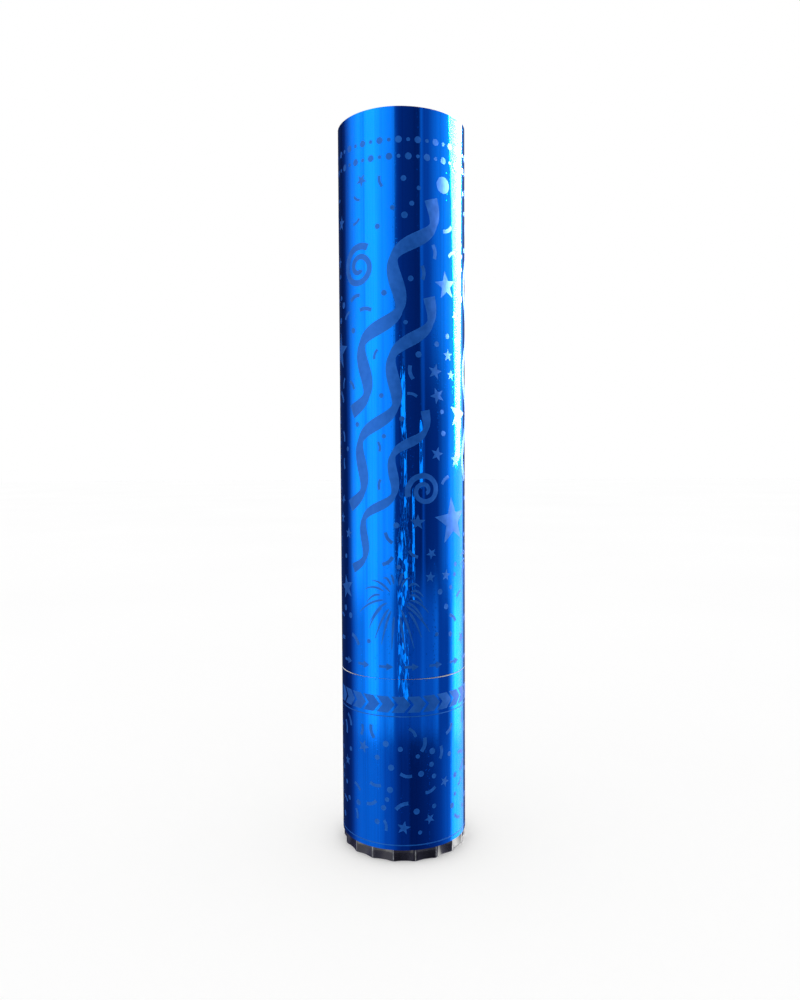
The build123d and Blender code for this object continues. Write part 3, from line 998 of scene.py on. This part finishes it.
# Muzzle disc
# Card disc faced with silver foil, pressed into the muzzle a few millimetres below its edge. It keeps
# the confetti in, and the shot pushes it out.
disc_low, disc_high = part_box("muzzle_disc")
disc_rings = 22
disc_steps = 120
disc_dish = 0.10 * mm
disc_edge = 0.3 * mm
disc_flat = 0.94
disc_round = 0.06
disc_wrinkle = 4 * mm
disc_crumple = 0.6
crumple_across = 410
crumple_sway = 330
crumple_up = 370
disc_outline = [
    (0, disc_low.z),
    (disc_high.x - disc_edge, disc_low.z),
    (disc_high.x, disc_low.z + disc_edge),
]
for step in range(disc_rings):
    share = 1 - step / disc_rings
    drop = disc_edge * eased((share - disc_flat) / disc_round)
    disc_outline.append((disc_high.x * share, disc_high.z - disc_dish - drop))
disc_outline.append((0, disc_high.z - disc_dish))
muzzle_disc = turned("muzzle_disc_piece", disc_outline, disc_steps)
for corner in muzzle_disc.data.vertices:
    if corner.co.z > disc_low.z + 2 * disc_edge:
        sway = 2 * math.sin(crumple_sway * corner.co.y)
        crumple = math.sin(crumple_across * corner.co.x + sway) * math.sin(crumple_up * corner.co.y)
        corner.co.z += disc_dish * disc_crumple * crumple
shade(muzzle_disc, angle=60)
disc_foil = plain_finish("silver_card_foil", (0.66, 0.67, 0.69), (0.84, 0.85, 0.87), foil_gloss,
                         disc_wrinkle, foil_relief, 1.0)
muzzle_disc.data.materials.append(disc_foil)
muzzle_disc.data.materials.append(board)
for face in muzzle_disc.data.polygons:
    face.material_index = 0 if face.normal.z > 0.5 else 1
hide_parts("muzzle_disc")
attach(muzzle_disc, "lid")

# Barrel film
# The same metallised film round the barrel, with the lap down the back. It is most creased above the
# seam, where the hands take hold to twist.
muzzle_edge_low = -0.4 * mm
barrel_film = film_sheet("barrel_film_piece", "barrel_film", muzzle_edge_low, 0)
barrel_film.data.materials.append(blue_film)
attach(barrel_film, "barrel")

# Print on the barrel
# Matte blue ink, the same design on the front and on the back: paper streamers and curls, large stars,
# a burst over the seam, rows of dots by the muzzle and small arrows that point the way to twist.
ribbon_thin = 0.55
ribbon_swell = 0.45
curl_wound = 0.85
curl_inwards = 0.82
curl_taper = 0.35
ray_wander = 0.25
ray_starts = (0.22, 0.42)
ray_ends = (0.65, 1.0)
ray_droop = 0.3
ray_thin = 0.25
ray_swell = 0.75
ray_skew = 0.7
arrow_count = 16
arrow_height = 75.4 * mm
arrow_length = 5.6 * mm
arrow_width = 2.8 * mm
arrow_shaft = (0.36, 0.55)
arrow_head = 0.9
dot_count = 44
dot_rows = (271 * mm, 265 * mm)
dot_margin = 1.4 * mm
dot_radii = (0.7 * mm, 1.25 * mm)
degree = film_radius * math.radians(1)
large_stars = (
    (41.8, 219, 5.4, 8),
    (60, 171, 6.2, -10),
    (50, 130, 9.4, 6),
    (-74, 196, 7.4, -7),
    (-62, 104, 5.0, 12),
)
streamers = (
    (26, 250, -50, 172, 5.4, 2.5, 4.6),
    (24, 214, -54, 136, 4.8, 2.5, 4.2),
    (20, 172, -50, 112, 3.6, 2.5, 3.4),
    (84, 246, 76, 146, 3.4, 3, 3.2),
)
large_dot = (38.8, 256, 3.1)
curls = ((-40, 226, 8.0, 2.6, 60, 1), (19, 142, 6.6, 2.2, 200, -1))
bursts = ((-6, 101, 22, 16, 0.9, 3), (84, 114, 17, 11, 0.8, 4))


def print_streamer(start, end, width, waves, swing):
    """A paper streamer that hangs in waves between two spots."""
    across = Vector(end) - Vector(start)
    sideways = Vector((-across.y, across.x)).normalized()

    def line(share):
        spot = Vector(start) + across * share + sideways * swing * math.sin(2 * math.pi * waves * share)
        return (spot.x, spot.y)

    def half_width(share):
        return width / 2 * (ribbon_thin + ribbon_swell * abs(math.cos(2 * math.pi * waves * share)))
    print_ribbon(line, half_width, steps=72)


def print_curl(across, height, radius, width, turn, flip):
    """A rolled-up streamer seen from its end."""
    def line(share):
        angle = turn + flip * 4 * math.pi * share * curl_wound
        reach = radius * (1 - curl_inwards * share)
        return (across + reach * math.cos(angle), height + reach * math.sin(angle))
    print_ribbon(line, lambda share: width / 2 * (1 - curl_taper * share), steps=60)


def print_burst(across, height, rays, length, width, draw):
    """Tapered rays that fly out from one spot, some further than others, and droop."""
    def half_width(share):
        return width / 2 * (ray_thin + ray_swell * math.sin(math.pi * share ** ray_skew))

    for ray in range(rays):
        angle = 2 * math.pi * (ray + draw.uniform(-ray_wander, ray_wander)) / rays
        inner = length * draw.uniform(*ray_starts)
        outer = length * draw.uniform(*ray_ends)

        def line(share):
            reach = inner + (outer - inner) * share
            return (across + reach * math.cos(angle),
                    height + reach * math.sin(angle) - ray_droop * length * share ** 2)
        print_ribbon(line, half_width, steps=10)


def print_arrow(across):
    """A small plain arrow that points to the right."""
    thin, shaft = arrow_shaft

    def line(share):
        return (across + (share - 0.5) * arrow_length, arrow_height)

    def half_width(share):
        return arrow_width / 2 * (thin if share < shaft else 2 * max(1 - share, 0) / arrow_head)
    print_ribbon(line, half_width, steps=20)


barrel_print = start_print("barrel_print")
for side in (0, 180):
    front = side * degree
    for across, height, radius, turn in large_stars:
        print_star(front + across * degree, height * mm, radius * mm, math.radians(turn))
    across, height, radius = large_dot
    print_dot(front + across * degree, height * mm, radius * mm)
    for across, height, end_across, end_height, width, waves, swing in streamers:
        start = (front + across * degree, height * mm)
        end = (front + end_across * degree, end_height * mm)
        print_streamer(start, end, width * mm, waves, swing * mm)
    for across, height, radius, width, turn, flip in curls:
        print_curl(front + across * degree, height * mm, radius * mm, width * mm, math.radians(turn), flip)
    for across, height, rays, length, width, seed in bursts:
        print_burst(front + across * degree, height * mm, rays, length * mm, width * mm, random.Random(seed))
for dot in range(dot_count):
    across = print_start + dot_margin + (print_end - print_start - 2 * dot_margin) * dot / (dot_count - 1)
    print_dot(across, dot_rows[0], dot_radii[dot % 2])
    print_dot(across, dot_rows[1], dot_radii[1 - dot % 2])
for arrow in range(arrow_count):
    print_arrow(print_start + (arrow + 0.5) * (print_end - print_start) / arrow_count)
scatter(random.Random(29), low=83 * mm, high=258 * mm, count=1500, gap=1.7 * mm)
finish_print(barrel_print)
barrel_print.data.materials.append(ink)
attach(barrel_print, "barrel")

# Floor
# A wide white sheet that the popper stands on. It takes the popper's soft shadow and isn't mirrored in
# the film.
floor_size = 12.0
floor_clouds = 0.4
floor = added("floor", bpy.ops.mesh.primitive_plane_add, size=floor_size)
floor.visible_glossy = False
floor_white, floor_shader, floor_place = finish("floor_white", 0.9, sockets=(("Specular IOR Level", 0),))
coat(floor_shader, tint(grain(floor_place, floor_clouds), (0.985, 0.985, 0.985), (1, 1, 1)))
floor.data.materials.append(floor_white)

# Studio light
# A white studio that lights all sides alike. Gloss mirrors tall panels instead: a broad one on the left,
# dark blue cloth round the camera with a slit in it, a wall that brightens to the right, a pale ceiling,
# and a strip lamp at the right rear that leans over the popper. They are dimmer towards the floor.
panel_scale = 6.0
strip_level = 60.0
strip_width = 52 * mm
strip_foot = Vector((154, 72, 153)) * mm
strip_head = Vector((61, 6, 325)) * mm
strip_across = Vector((-0.38, 0.92, 0))
panels_above = (
    (-180, 0.1), (-136, 0.07), (-124, 0.17), (-113, 0.55), (-102, 0.95), (-84, 1.7), (-71, 1.4), (-66, 2.0),
    (-48, 2.1), (-40, 1.6), (-24, 1.2), (-14, 1.0), (-10, 0.3), (-2, 0.18), (32, 0.11), (35, 0.6), (40, 0.34),
    (49, 0.36), (66, 0.75), (84, 1.1), (100, 1.8), (138, 1.6), (150, 0.3),
)
panels_level = (
    (-180, 0.12), (-138, 0.1), (-124, 0.1), (-113, 0.36), (-104, 0.95), (-92, 1.75), (-76, 1.7), (-70, 1.4),
    (-64, 1.8), (-52, 1.95), (-40, 1.4), (-18, 1.15), (-13, 0.24), (0, 0.16), (3, 0.7), (6, 0.15), (34, 0.12),
    (38, 0.4), (42, 0.14), (66, 0.2), (88, 0.7), (101, 1.6), (116, 2.5), (138, 2.5), (150, 0.3),
)
panels_low = (
    (-180, 0.10), (-131, 0.09), (-115, 0.16), (-103, 0.5), (-91, 0.85), (-80, 0.85), (-70, 1.4), (-60, 1.8),
    (-51, 1.8), (-44, 1.1), (-36, 0.9), (-21, 1.0), (-16, 0.42), (-6, 0.4), (8, 0.36), (30, 0.4), (36, 0.6),
    (40, 0.46), (54, 0.5), (64, 0.7), (69, 0.32), (90, 0.36), (100, 1.2), (111, 4.6), (127, 3.9), (145, 1.2),
    (152, 0.3),
)
panels_below = (
    (-180, 0.1), (-130, 0.1), (-115, 0.16), (-105, 0.38), (-98, 0.56), (-88, 0.66), (-46, 0.68), (-36, 0.5),
    (-22, 0.4), (-12, 0.24), (-6, 0.16), (8, 0.16), (12, 0.09), (28, 0.1), (50, 0.15), (70, 0.27), (88, 0.5),
    (95, 0.6), (101, 2.0), (108, 2.7), (126, 2.6), (144, 1.4), (152, 0.2),
)
panels_overhead = ((-180, 0.9), (180, 0.9))
cloth_blue = 0.4
studio_heights = (
    (-19.3, -17.8, panels_low),
    (-11.5, -6.5, panels_level),
    (2, 12, panels_above),
    (36, 50, panels_overhead),
)
scene = bpy.context.scene
world = bpy.data.worlds.new("studio")
world.use_nodes = True
scene.world = world
studio = world.node_tree
studio.nodes.clear()


def studio_ramp(points):
    """Brightness by the way round the studio, as soft-edged panels whose dark cloth is blue."""
    ramp = wired("ValToRGB", "Color", {"Fac": way_round})
    stops = ramp.node.color_ramp.elements
    stops.remove(stops[-1])
    for index, (degrees, level) in enumerate(points):
        stop = stops[0] if index == 0 else stops.new((degrees + 180) / 360)
        stop.position = (degrees + 180) / 360
        paleness = cloth_blue + (1 - cloth_blue) * min(level, 1)
        grey = level * paleness / panel_scale
        stop.color = (grey, grey, level / panel_scale, 1)
    return ramp


looking = studio.nodes.new("ShaderNodeTexCoord").outputs["Generated"]
aside, ahead, upward = parted(looking)[:3]
azimuth = reckon("ARCTAN2", aside, reckon("MULTIPLY", ahead, -1))
way_round = reckon("MULTIPLY_ADD", azimuth, 1 / (2 * math.pi), 0.5)
walls = studio_ramp(panels_below)
for low, high, panels in studio_heights:
    share = fading(upward, math.sin(math.radians(high)), math.sin(math.radians(low)))
    walls = wired("MixRGB", "Color", {"Fac": share, "Color1": walls, "Color2": studio_ramp(panels)})
wall_light = wired("Background", "Background", {"Color": walls, "Strength": panel_scale})
plain = studio.nodes.new("ShaderNodeBackground")
plain.inputs["Color"].default_value = (1, 1, 1, 1)
rays = studio.nodes.new("ShaderNodeLightPath").outputs
mirrored = reckon("MULTIPLY", rays["Is Glossy Ray"], reckon("LESS_THAN", rays["Diffuse Depth"], 0.5))
choice = wired("MixShader", "Shader", {0: mirrored, 1: plain.outputs["Background"], 2: wall_light})
studio.links.new(choice, studio.nodes.new("ShaderNodeOutputWorld").inputs["Surface"])
strip_up = (strip_head - strip_foot).normalized()
strip_back = strip_across.cross(strip_up).normalized()
strip_axes = Matrix((strip_up.cross(strip_back), strip_up, strip_back)).transposed()
strip_middle = (strip_foot + strip_head) / 2
strip_height = (strip_head - strip_foot).length
strip_lamp = added("strip_lamp", bpy.ops.object.light_add, type="AREA", location=strip_middle,
                   rotation=strip_axes.to_euler())
strip_lamp.data.shape = "RECTANGLE"
strip_lamp.data.size = strip_width
strip_lamp.data.size_y = strip_height
strip_lamp.data.energy = strip_level * math.pi * strip_width * strip_height
strip_lamp.visible_diffuse = False
strip_lamp.visible_camera = False

# Camera
# Held upright a little above the popper's middle, close enough that the muzzle looks wider than the
# foot.
camera_distance = 0.336
camera_height = 0.1537
camera_lens = 29.98
camera_clip = 0.01
camera_pitch = math.radians(-2.77)
camera_yaw = math.radians(-0.19)
camera_roll = math.radians(-0.28)
camera_data = bpy.data.cameras.new("camera")
camera_data.lens = camera_lens
camera_data.clip_start = camera_clip
camera = bpy.data.objects.new("camera", camera_data)
scene.collection.objects.link(camera)
upright = math.pi / 2
camera.matrix_world = (Matrix.Rotation(-camera_yaw, 4, "Z") @ Matrix.Rotation(upright + camera_pitch, 4, "X")
                       @ Matrix.Rotation(camera_roll, 4, "Z"))
camera.location = (0, -camera_distance, camera_height)
scene.camera = camera
scene.view_settings.view_transform = "Standard"
